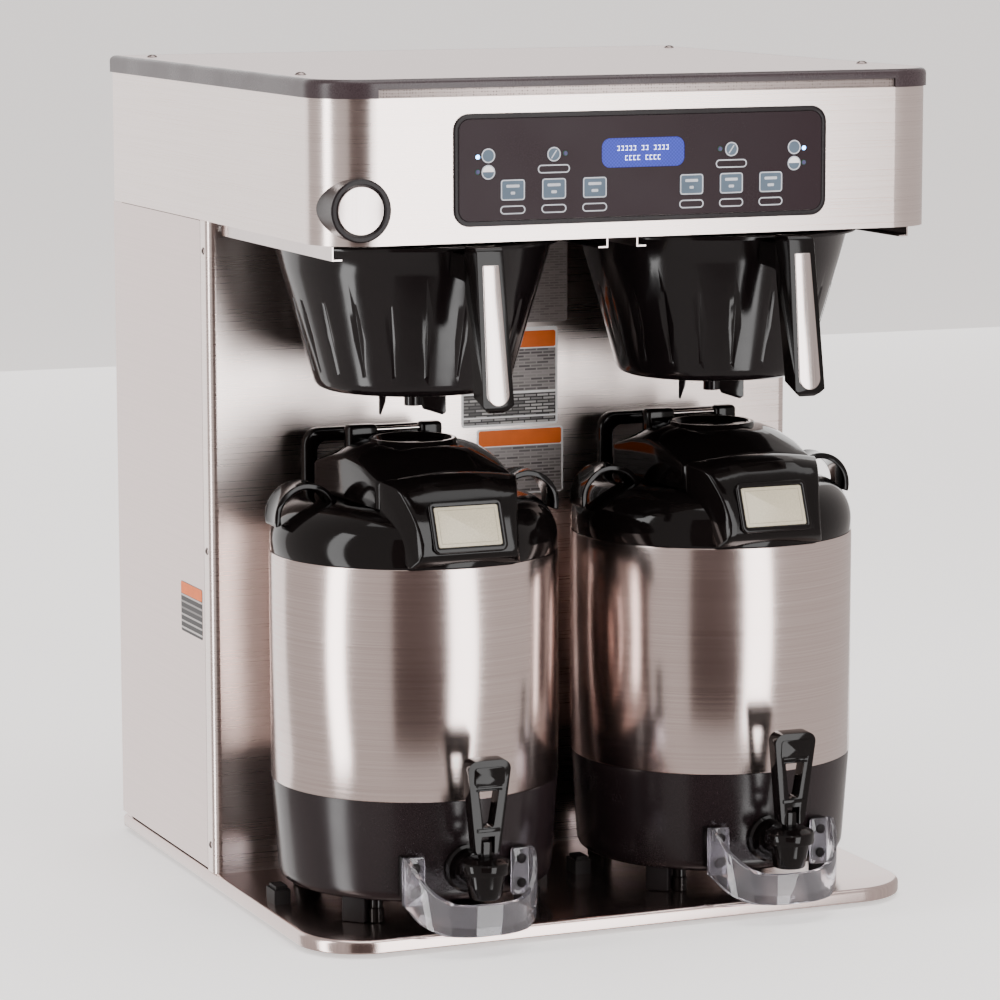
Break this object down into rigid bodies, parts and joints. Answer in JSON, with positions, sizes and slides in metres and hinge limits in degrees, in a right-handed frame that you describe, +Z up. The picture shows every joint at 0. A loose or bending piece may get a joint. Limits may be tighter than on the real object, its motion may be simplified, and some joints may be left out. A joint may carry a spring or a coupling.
{
  "type": "commercial coffee brewer",
  "caption": "Twin commercial coffee brewer: steel tower with an overhanging control hood, slide-in brew funnels with grip handles and insulated servers with faucets on the deck.",
  "frame": {"origin": "on the counter under the middle of the machine's width and depth", "axes": "+X to the right seen from the front, -Y towards the person using it, +Z up"},
  "size_m": [0.534, 0.5674, 0.6942],
  "materials": {
    "cabinet_steel": "satin",
    "deck_steel": "satin",
    "server_steel": "polished",
    "inner_steel": "satin",
    "black_gloss": "gloss",
    "black_matte": "matte",
    "panel_film": "satin",
    "key_blue": "satin",
    "lcd_blue": "gloss",
    "display_cream": "satin",
    "clear_guard": "gloss",
    "circuit_green": "matte",
    "foot_rubber": "matte",
    "brass_fitting": "satin",
    "element_steel": "matte",
    "label_film": "satin"
  },
  "bodies": {
    "cabinet": {"base_deck": "deck_steel", "deck_feet": "foot_rubber", "server_guides": "black_matte", "trunk_front": "cabinet_steel", "side_panel_left": "cabinet_steel", "side_panel_right": "cabinet_steel", "rear_panel": "cabinet_steel", "hood_shell": "cabinet_steel", "hood_underside": "cabinet_steel", "top_cover": "cabinet_steel", "vent_strip": "inner_steel", "cover_screws": "inner_steel", "control_bezel": "black_matte", "control_overlay": "panel_film", "lcd_module": "lcd_blue", "control_board": "circuit_green", "corner_badge": "black_gloss", "water_tank": "inner_steel", "heating_elements": "element_steel", "spray_units": "inner_steel", "funnel_rails": "inner_steel", "inlet_valve": "brass_fitting", "cord_gland": "black_matte", "info_labels": "label_film"},
    "brew_key_left_1": {"brew_key_left_1": "key_blue"},
    "brew_key_left_2": {"brew_key_left_2": "key_blue"},
    "brew_key_left_3": {"brew_key_left_3": "key_blue"},
    "enable_key_left": {"enable_key_left": "key_blue"},
    "full_batch_key_left": {"full_batch_key_left": "key_blue"},
    "half_batch_key_left": {"half_batch_key_left": "key_blue"},
    "brew_key_right_1": {"brew_key_right_1": "key_blue"},
    "brew_key_right_2": {"brew_key_right_2": "key_blue"},
    "brew_key_right_3": {"brew_key_right_3": "key_blue"},
    "enable_key_right": {"enable_key_right": "key_blue"},
    "full_batch_key_right": {"full_batch_key_right": "key_blue"},
    "half_batch_key_right": {"half_batch_key_right": "key_blue"},
    "funnel_left": {"funnel_shell_left": "black_gloss", "funnel_handle_left": "black_gloss", "funnel_inlay_left": "server_steel"},
    "server_left": {"steel_body_left": "server_steel", "base_skirt_left": "black_gloss", "liner_left": "inner_steel", "collar_left": "black_gloss", "display_left": "display_cream", "faucet_body_left": "black_gloss", "splash_guard_left": "clear_guard"},
    "lid_left": {"server_lid_left": "black_gloss"},
    "faucet_lever_left": {"faucet_handle_left": "black_gloss"},
    "funnel_right": {"funnel_shell_right": "black_gloss", "funnel_handle_right": "black_gloss", "funnel_inlay_right": "server_steel"},
    "server_right": {"steel_body_right": "server_steel", "base_skirt_right": "black_gloss", "liner_right": "inner_steel", "collar_right": "black_gloss", "display_right": "display_cream", "faucet_body_right": "black_gloss", "splash_guard_right": "clear_guard"},
    "lid_right": {"server_lid_right": "black_gloss"},
    "faucet_lever_right": {"faucet_handle_right": "black_gloss"}
  },
  "joints": [
    {"name": "brew_key_left_1_press", "type": "slide", "parent": "cabinet", "child": "brew_key_left_1", "axis": [0, 1, 0], "range_m": [0, 0.0005], "stiffness_N_per_m": 900, "springref_m": -0.0002},
    {"name": "brew_key_left_2_press", "type": "slide", "parent": "cabinet", "child": "brew_key_left_2", "axis": [0, 1, 0], "range_m": [0, 0.0005], "stiffness_N_per_m": 900, "springref_m": -0.0002},
    {"name": "brew_key_left_3_press", "type": "slide", "parent": "cabinet", "child": "brew_key_left_3", "axis": [0, 1, 0], "range_m": [0, 0.0005], "stiffness_N_per_m": 900, "springref_m": -0.0002},
    {"name": "enable_key_left_press", "type": "slide", "parent": "cabinet", "child": "enable_key_left", "axis": [0, 1, 0], "range_m": [0, 0.0005], "stiffness_N_per_m": 900, "springref_m": -0.0002},
    {"name": "full_batch_key_left_press", "type": "slide", "parent": "cabinet", "child": "full_batch_key_left", "axis": [0, 1, 0], "range_m": [0, 0.0005], "stiffness_N_per_m": 900, "springref_m": -0.0002},
    {"name": "half_batch_key_left_press", "type": "slide", "parent": "cabinet", "child": "half_batch_key_left", "axis": [0, 1, 0], "range_m": [0, 0.0005], "stiffness_N_per_m": 900, "springref_m": -0.0002},
    {"name": "brew_key_right_1_press", "type": "slide", "parent": "cabinet", "child": "brew_key_right_1", "axis": [0, 1, 0], "range_m": [0, 0.0005], "stiffness_N_per_m": 900, "springref_m": -0.0002},
    {"name": "brew_key_right_2_press", "type": "slide", "parent": "cabinet", "child": "brew_key_right_2", "axis": [0, 1, 0], "range_m": [0, 0.0005], "stiffness_N_per_m": 900, "springref_m": -0.0002},
    {"name": "brew_key_right_3_press", "type": "slide", "parent": "cabinet", "child": "brew_key_right_3", "axis": [0, 1, 0], "range_m": [0, 0.0005], "stiffness_N_per_m": 900, "springref_m": -0.0002},
    {"name": "enable_key_right_press", "type": "slide", "parent": "cabinet", "child": "enable_key_right", "axis": [0, 1, 0], "range_m": [0, 0.0005], "stiffness_N_per_m": 900, "springref_m": -0.0002},
    {"name": "full_batch_key_right_press", "type": "slide", "parent": "cabinet", "child": "full_batch_key_right", "axis": [0, 1, 0], "range_m": [0, 0.0005], "stiffness_N_per_m": 900, "springref_m": -0.0002},
    {"name": "half_batch_key_right_press", "type": "slide", "parent": "cabinet", "child": "half_batch_key_right", "axis": [0, 1, 0], "range_m": [0, 0.0005], "stiffness_N_per_m": 900, "springref_m": -0.0002},
    {"name": "funnel_left_slide", "type": "slide", "parent": "cabinet", "child": "funnel_left", "axis": [0, -1, 0], "range_m": [0, 0.24]},
    {"name": "server_left_slide", "type": "slide", "parent": "cabinet", "child": "server_left", "axis": [0, -1, 0], "range_m": [0, 0.3]},
    {"name": "lid_left_hinge", "type": "hinge", "parent": "server_left", "child": "lid_left", "pos_m": [-0.134, -0.0204, 0.352], "axis": [-1, 0, 0], "range_deg": [0, 8]},
    {"name": "faucet_left_hinge", "type": "hinge", "parent": "server_left", "child": "faucet_lever_left", "pos_m": [-0.134, -0.2526, 0.088], "axis": [1, 0, 0], "range_deg": [0, 35], "stiffness_Nm_per_rad": 0.6, "springref_deg": -4.58},
    {"name": "funnel_right_slide", "type": "slide", "parent": "cabinet", "child": "funnel_right", "axis": [0, -1, 0], "range_m": [0, 0.24]},
    {"name": "server_right_slide", "type": "slide", "parent": "cabinet", "child": "server_right", "axis": [0, -1, 0], "range_m": [0, 0.3]},
    {"name": "lid_right_hinge", "type": "hinge", "parent": "server_right", "child": "lid_right", "pos_m": [0.134, -0.0204, 0.352], "axis": [-1, 0, 0], "range_deg": [0, 8]},
    {"name": "faucet_right_hinge", "type": "hinge", "parent": "server_right", "child": "faucet_lever_right", "pos_m": [0.134, -0.2526, 0.088], "axis": [1, 0, 0], "range_deg": [0, 35], "stiffness_Nm_per_rad": 0.6, "springref_deg": -4.58}
  ]
}
